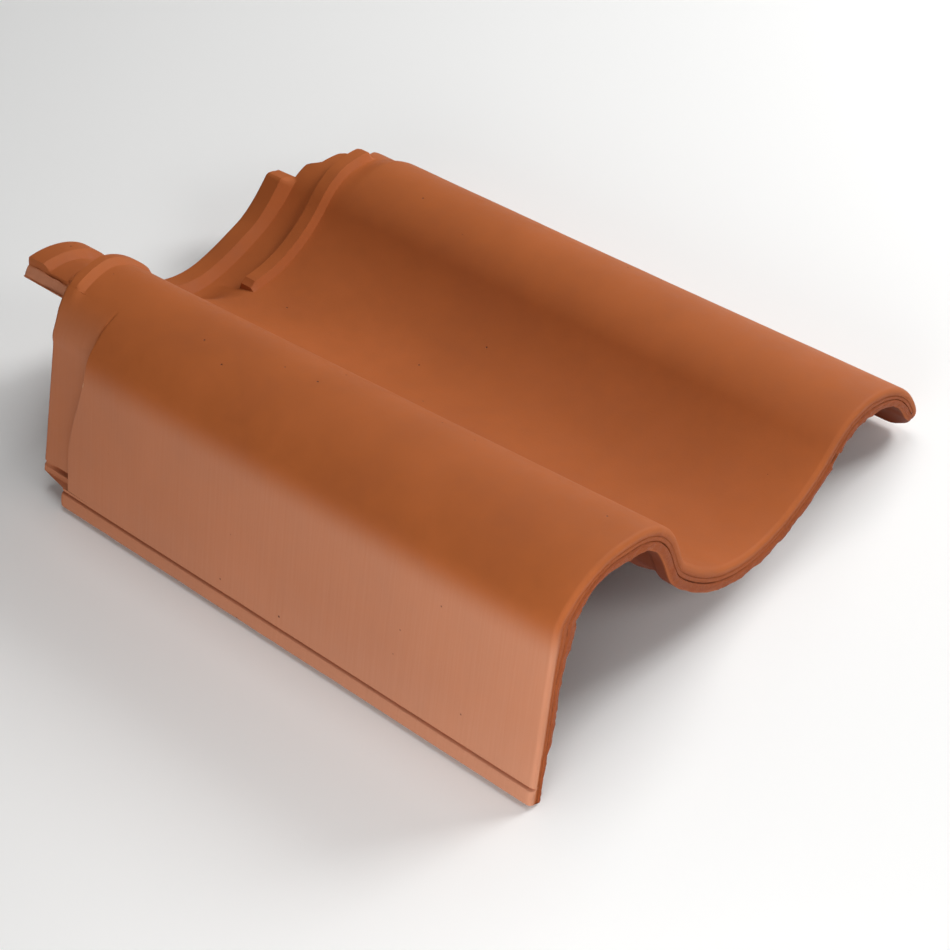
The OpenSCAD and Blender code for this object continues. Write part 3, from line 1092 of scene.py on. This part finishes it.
    def build(self) -> bpy.types.Object:
        """Makes the tile's mesh.

        Returns:
            The object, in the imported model's frame.
        """
        stations = self.stations()
        points, laid = self.placed(stations)
        across, around = points.shape[:2]
        number = np.arange(across * around).reshape(across, around)
        here, there = number[:-1], number[1:]
        quads = np.stack([here, np.roll(here, -1, 1), np.roll(there, -1, 1), there], axis=2).reshape(-1, 4)
        faces = quads.tolist()
        faces += self.cap(number[0], laid[0, :, 1], self.face_points, True)
        faces += self.cap(number[-1], laid[-1, :, 1], self.face_points, False)
        mesh = bpy.data.meshes.new(NODE)
        mesh.from_pydata(points.reshape(-1, 3).tolist(), [], faces)
        self.mark(mesh, laid, stations)
        mesh.validate()
        mesh.polygons.foreach_set("use_smooth", [True] * len(mesh.polygons))
        mesh.set_sharp_from_angle(angle=math.radians(self.sharp_angle))
        piece = bpy.data.objects.new("fired_tile", mesh)
        bpy.context.scene.collection.objects.link(piece)
        return piece

    def mark(self, mesh: bpy.types.Mesh, laid: Array, stations: list[Station]) -> None:
        """Writes what the finish needs onto the mesh: laid places, bloom with painted sheen, trimmed clay, painted
        shade below.

        Args:
            mesh: mesh of the tile.
            laid: run across, place along and depth of each point, in mm.
            stations: the stations in order.
        """
        run, y, depth = laid[:, :, 0], laid[:, :, 1], laid[:, :, 2]
        upper = np.arange(laid.shape[1]) < self.face_points
        # bloom with painted sheen below the crease and in the recess, and on the tongue's flange
        edge = np.array([self.skirt_z + self.bloom_sheen_above - st.z if st.x < 0 else -self.length for st in stations])
        step = np.array([self.recess_y(st.z) for st in stations])[:, None]
        recessed = smooth((y - step) / self.bloom_sheen_step)
        wiped_and_sheen = smooth((edge[:, None] + self.bloom_sheen_soft * recessed) / self.bloom_sheen_soft) * upper
        # painted sheen: the next lines make the skirt paler towards the tail, a little less so in the recess, and
        # paler towards its foot
        wiped_and_sheen = wiped_and_sheen * (self.sheen_tail_share - self.sheen_fall_share * y / self.body_end)
        wiped_and_sheen = wiped_and_sheen * (1 - self.bloom_sheen_recess_share * recessed)
        wiped_and_sheen = wiped_and_sheen * (1 + self.sheen_foot_share * smooth(1 - run / self.bloom_sheen_foot))
        flange = np.array([self.down_tongue(st.x) if st.x > -self.tongue_reach else 0.0 for st in stations])
        behind = smooth((y - self.body_end - self.bloom_sheen_flange) / self.bloom_sheen_flange)
        wiped_and_sheen = np.maximum(wiped_and_sheen, smooth(3 * flange[:, None]) * behind)
        # painted shade on the underside, which stops where light falls on the tongue, and what the wire trimmed
        under = (~upper & (y > self.trim_reach)) * smooth((self.body_end - self.under_fade - y) / self.under_fade)
        tail = smooth((self.trim_reach - y) / self.trim_soft) * smooth((depth - self.trim_from) / self.trim_soft)
        foot = np.array([ease((self.trim_soft - st.height) / self.trim_foot) if st.height >= 0 else 0.0
                         for st in stations])
        place = mesh.attributes.new("laid", "FLOAT_VECTOR", "POINT")
        place.data.foreach_set("vector", (laid * MM).reshape(-1).astype(np.float32))
        for name, values in (("wiped_and_sheen", wiped_and_sheen), ("trimmed", np.maximum(tail, foot[:, None])), ("under", under)):
            layer = mesh.attributes.new(name, "FLOAT", "POINT")
            layer.data.foreach_set("value", values.reshape(-1).astype(np.float32))

    def dress(self, piece: bpy.types.Object, finish: "FiredClay") -> None:
        """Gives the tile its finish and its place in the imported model.

        Args:
            piece: the tile.
            finish: finish of the clay.
        """
        piece.data.materials.append(finish.material())
        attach(piece, "root")
        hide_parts(NODE)


class Shading:
    """Adds the few kinds of nodes that a finish is made of to one material."""

    def __init__(self, name: str) -> None:
        """Starts an empty material.

        Args:
            name: name of the real material.
        """
        self.material = bpy.data.materials.new(name)
        self.material.use_nodes = True
        self.tree = self.material.node_tree
        self.tree.nodes.clear()

    def attribute(self, name: str, output: str = "Fac") -> Socket:
        """Reads what the mesh carries under a name."""
        return add_node(self.tree, "ShaderNodeAttribute", {"attribute_name": name}, {}).outputs[output]

    def noise(self, place: Socket, size: float, detail: float, rough: float) -> Socket:
        """Soft noise with waves of a size in mm, or as its place is scaled where the size is 1 m."""
        return add_node(self.tree, "ShaderNodeTexNoise", {}, {
            "Vector": place, "Scale": 1.0 / (size * MM), "Detail": detail, "Roughness": rough}).outputs["Fac"]

    def scaled(self, place: Socket, scale: tuple[float, float, float]) -> Socket:
        """Stretches a place along its axes."""
        return add_node(self.tree, "ShaderNodeMapping", {"vector_type": "POINT"}, {
            "Vector": place, "Scale": scale}).outputs["Vector"]

    def spread(self, value: Socket, given: tuple[float, float],
               wanted: tuple[float, float]) -> Socket:
        """Maps one range of a value onto another, and stops at its ends.

        Args:
            value: the value.
            given: range that it has.
            wanted: range that it gets.

        Returns:
            The new value.
        """
        return add_node(self.tree, "ShaderNodeMapRange", {}, {
            "Value": value, "From Min": given[0], "From Max": given[1],
            "To Min": wanted[0], "To Max": wanted[1]}).outputs["Result"]

    def times(self, first: Socket, second: Socket) -> Socket:
        """Multiplies two values."""
        return add_node(self.tree, "ShaderNodeMath", {"operation": "MULTIPLY"}, {
            0: first, 1: second}).outputs["Value"]

    def mix(self, share: Any, under: Socket, over: Any, blend: str = "MIX") -> Socket:
        """Lays one colour over another; a hex code stands for a plain colour.

        Args:
            share: share of the upper colour.
            under: lower colour.
            over: upper colour.
            blend: how the two are joined.

        Returns:
            The colour.
        """
        over = hex_to_linear(over) if isinstance(over, str) else over
        return add_node(self.tree, "ShaderNodeMix", {"data_type": "RGBA", "blend_type": blend}, {
            0: share, 6: under, 7: over}).outputs[2]

    def bump(self, height: Socket, look: tuple[float, float],
             before: Optional[Socket] = None, invert: bool = False) -> Socket:
        """Adds relief to a surface.

        Args:
            height: pattern of the relief.
            look: its strength, and its depth in mm.
            before: normal that it is added to.
            invert: makes it sunk instead of raised.

        Returns:
            The new normal.
        """
        sockets = {"Strength": look[0], "Distance": look[1] * MM, "Height": height}
        if before is not None:
            sockets["Normal"] = before
        return add_node(self.tree, "ShaderNodeBump", {"invert": invert}, sockets).outputs["Normal"]


@dataclass(frozen=True)
class FiredClay:
    """Natural red terracotta, pressed in a plaster-lined mould, trimmed by wire and fired unglazed.

    The eye sees a matte orange brown that drifts softly in tone, fine sandy grain, a few dark pits, and a paler,
    pinkish bloom with upright wipe marks on the skirt, mixed with painted sheen that grows towards the tail and foot.
    A painted highlight sits at the recess's edge and painted shade on the underside. Trimmed edges are rougher and a
    little darker.
    """

    # colours
    deep: str = "#a55728"
    body: str = "#aa5a28"
    bright: str = "#af5d2b"
    bloom_and_sheen: str = "#d8a084"
    # pale clay of the bloom, with painted sheen mixed in
    pit: str = "#5d3220"
    # painted highlight: a glint at the recess's edge
    painted_glint: str = "#d6b48c"
    torn: str = "#b98a70"
    # painted shade on the underside
    painted_underside_shade: str = "#a68a7c"
    # sizes of the patterns
    drift_mm: float = 55.0
    mottle_mm: float = 9.0
    grain_mm: float = 0.9
    torn_mm: float = 2.6
    wipe_mm: float = 1.6
    wipe_length_mm: float = 70.0
    pit_mm: float = 16.0
    glint_place_mm: tuple[float, float] = (82.4, 300.6)
    glint_edge_mm: tuple[float, float] = (0.5, 1.1)
    # shares, and where a pattern starts and stops to count
    tones: tuple[float, float, float] = (0.32, 0.5, 0.70)
    middle: tuple[float, float] = (0.3, 0.7)
    mottle_share: float = 0.08
    bloom_and_sheen_share: tuple[float, float] = (0.33, 0.40)
    pit_edge: tuple[float, float] = (0.02, 0.045)
    glint_squeeze: float = 0.4
    glint_share: float = 0.8
    # strength and depth in mm of each relief
    grain_relief: tuple[float, float] = (0.22, 0.25)
    wipe_relief: tuple[float, float] = (0.12, 0.3)
    torn_relief: tuple[float, float] = (0.8, 1.0)
    pit_relief: tuple[float, float] = (0.6, 0.5)
    # sheen
    roughness: tuple[float, float] = (0.63, 0.76)
    ior: float = 1.5
    specular: float = 0.3

    def tone(self, shading: Shading, drift: Socket) -> Socket:
        """Turns the drift of the fire into the clay's three tones.

        Args:
            shading: the material.
            drift: soft noise.

        Returns:
            The colour.
        """
        node = add_node(shading.tree, "ShaderNodeValToRGB", {}, {"Fac": drift})
        low, high = node.color_ramp.elements[0], node.color_ramp.elements[1]
        low.position, low.color = self.tones[0], hex_to_linear(self.deep)
        high.position, high.color = self.tones[2], hex_to_linear(self.bright)
        node.color_ramp.elements.new(self.tones[1]).color = hex_to_linear(self.body)
        return node.outputs["Color"]

    def painted_glint_mask(self, shading: Shading, laid: Socket) -> Socket:
        """Paints a highlight, one glint at the edge of the recess, taller than it is wide.

        Args:
            shading: the material.
            laid: run across and place along the tile.

        Returns:
            The painted highlight's share.
        """
        place = (self.glint_squeeze * self.glint_place_mm[0] * MM, self.glint_place_mm[1] * MM, 0.0)
        away = add_node(shading.tree, "ShaderNodeVectorMath", {"operation": "DISTANCE"}, {
            0: shading.scaled(laid, (self.glint_squeeze, 1.0, 0.0)), 1: place}).outputs["Value"]
        return shading.spread(away, (self.glint_edge_mm[0] * MM, self.glint_edge_mm[1] * MM), (self.glint_share, 0.0))

    def material(self) -> bpy.types.Material:
        """Builds the material.

        Returns:
            The material, with all patterns in real sizes.
        """
        shading = Shading("fired_terracotta")
        tree = shading.tree
        space = add_node(tree, "ShaderNodeTexCoord", {}, {}).outputs["Object"]
        laid = shading.attribute("laid", "Vector")
        # the tone drifts with the fire over a hand's width, and the clay is mottled
        mottle = shading.noise(space, self.mottle_mm, 6.0, 0.65)
        colour = self.tone(shading, shading.noise(space, self.drift_mm, 4.0, 0.55))
        colour = shading.mix(self.mottle_share, colour, mottle, "OVERLAY")
        # upright wipe marks in the bloom and painted sheen on the skirt
        upright = (1 / (self.wipe_length_mm * MM), 1 / (self.wipe_mm * MM), 0.0)
        wipes = shading.noise(shading.scaled(laid, upright), 1 / MM, 5.0, 0.7)
        share = shading.spread(wipes, self.middle, self.bloom_and_sheen_share)
        colour = shading.mix(shading.times(shading.attribute("wiped_and_sheen"), share), colour, self.bloom_and_sheen)
        # a few dark pits, and the painted highlight at the recess's edge
        pits = add_node(tree, "ShaderNodeTexVoronoi", {"feature": "F1"}, {
            "Vector": space, "Scale": 1 / (self.pit_mm * MM), "Randomness": 1.0}).outputs["Distance"]
        pitted = shading.spread(pits, self.pit_edge, (1.0, 0.0))
        colour = shading.mix(pitted, colour, self.pit)
        colour = shading.mix(self.painted_glint_mask(shading, laid), colour, self.painted_glint)
        # torn clay where the wire trimmed it, and painted shade on the underside
        torn = shading.times(shading.attribute("trimmed"), shading.noise(space, self.torn_mm, 6.0, 0.75))
        colour = shading.mix(torn, colour, self.torn, "MULTIPLY")
        colour = shading.mix(shading.attribute("under"), colour, self.painted_underside_shade, "MULTIPLY")
        # sandy grain, drawn a little coarse so that it shows, then the other relief
        normal = shading.bump(shading.noise(space, self.grain_mm, 3.0, 0.6), self.grain_relief)
        normal = shading.bump(wipes, self.wipe_relief, normal)
        normal = shading.bump(torn, self.torn_relief, normal)
        normal = shading.bump(pitted, self.pit_relief, normal, invert=True)
        shader = add_node(tree, "ShaderNodeBsdfPrincipled", {}, {
            "Base Color": colour, "Roughness": shading.spread(mottle, self.middle, self.roughness),
            "IOR": self.ior, "Specular IOR Level": self.specular, "Normal": normal})
        add_node(tree, "ShaderNodeOutputMaterial", {}, {"Surface": shader.outputs["BSDF"]})
        return shading.material


@dataclass(frozen=True)
class SoftBox:
    """A square white light: its place and the length of its side in mm, and its power in watts."""

    name: str
    place: tuple[float, float, float]
    side: float
    watts: float


@dataclass
class Studio:
    """Pale floor, soft lights and the camera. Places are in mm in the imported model's frame."""

    camera_place: tuple[float, float, float] = (-653.77, -636.40, 837.51)
    camera_ahead: tuple[float, float, float] = (0.52701, 0.49905, -0.68790)
    camera_right: tuple[float, float, float] = (0.65221, -0.75644, -0.04911)
    focal_px: float = 2365.2
    principal_px: tuple[float, float] = (469.3, 483.5)
    image_px: float = 950.0
    sensor_mm: float = 36.0
    far_mm: float = 20000.0
    floor_mm: float = 6000.0
    floor_colour: str = "#f8f8f7"
    floor_roughness: float = 0.9
    room_colour: str = "#ffffff"
    room_glow: float = 0.02
    aim: tuple[float, float, float] = (0.0, 0.0, 50.0)
    boxes: tuple[SoftBox, ...] = (
        SoftBox("key", (1062, -613, 1028), 500, 11.2),
        SoftBox("low_left", (-1450, -450, 494), 900, 8.0),
        SoftBox("top", (139, 0, 1594), 900, 7.4),
        SoftBox("low_right", (1522, 0, 494), 900, 6.5),
        SoftBox("front", (0, -1311, 918), 500, 3.6),
        SoftBox("right", (1071, 0, 1189), 900, 3.3),
        SoftBox("near_left", (-453, -453, 113), 400, 1.1),
    )

    def floor(self) -> None:
        """Lays a plain pale floor, a painted board without sheen."""
        half = self.floor_mm * MM / 2
        mesh = bpy.data.meshes.new("floor")
        mesh.from_pydata([(-half, -half, 0), (half, -half, 0), (half, half, 0), (-half, half, 0)], [], [(0, 1, 2, 3)])
        floor = bpy.data.objects.new("floor", mesh)
        bpy.context.scene.collection.objects.link(floor)
        mat = bpy.data.materials.new("matte_white_board")
        mat.use_nodes = True
        shader = mat.node_tree.nodes["Principled BSDF"]
        shader.inputs["Base Color"].default_value = hex_to_linear(self.floor_colour)
        shader.inputs["Roughness"].default_value = self.floor_roughness
        mesh.materials.append(mat)

    def light(self, box: SoftBox) -> None:
        """Adds one soft box that faces the tile.

        Args:
            box: the light.
        """
        data = bpy.data.lights.new(box.name, "AREA")
        data.size = box.side * MM
        data.energy = box.watts
        lamp = bpy.data.objects.new(box.name, data)
        lamp.location = Vector(box.place) * MM
        lamp.rotation_euler = (Vector(self.aim) - Vector(box.place)).to_track_quat("-Z", "Y").to_euler()
        bpy.context.scene.collection.objects.link(lamp)

    def lights(self) -> None:
        """Sets the soft boxes and the even glow of the room."""
        scene = bpy.context.scene
        scene.world = bpy.data.worlds.new("room")
        scene.world.use_nodes = True
        back = scene.world.node_tree.nodes["Background"]
        back.inputs["Color"].default_value = hex_to_linear(self.room_colour)
        back.inputs["Strength"].default_value = self.room_glow
        for box in self.boxes:
            self.light(box)
        scene.view_settings.view_transform = "Standard"

    def camera(self) -> None:
        """Sets the camera at the photograph's viewing angle."""
        data = bpy.data.cameras.new("camera")
        data.sensor_width = self.sensor_mm
        data.lens = self.focal_px / self.image_px * self.sensor_mm
        data.shift_x = (self.image_px / 2 - self.principal_px[0]) / self.image_px
        data.shift_y = (self.principal_px[1] - self.image_px / 2) / self.image_px
        data.clip_end = self.far_mm * MM
        ahead = Vector(self.camera_ahead).normalized()
        right = Vector(self.camera_right)
        right = (right - ahead * right.dot(ahead)).normalized()
        matrix = Matrix((right, right.cross(ahead), -ahead)).transposed().to_4x4()
        matrix.translation = Vector(self.camera_place) * MM
        camera = bpy.data.objects.new("camera", data)
        camera.matrix_world = matrix
        bpy.context.scene.collection.objects.link(camera)
        bpy.context.scene.camera = camera


def main() -> None:
    """Builds the studio and the tile."""
    logging.basicConfig(level=logging.INFO, format="%(name)s: %(message)s")
    studio = Studio()
    studio.camera()
    studio.floor()
    studio.lights()
    tile = GableTile()
    piece = tile.build()
    tile.dress(piece, FiredClay())
    LOG.info("%s: %d points, %d faces", piece.name, len(piece.data.vertices), len(piece.data.polygons))


if __name__ == "__main__":
    main()
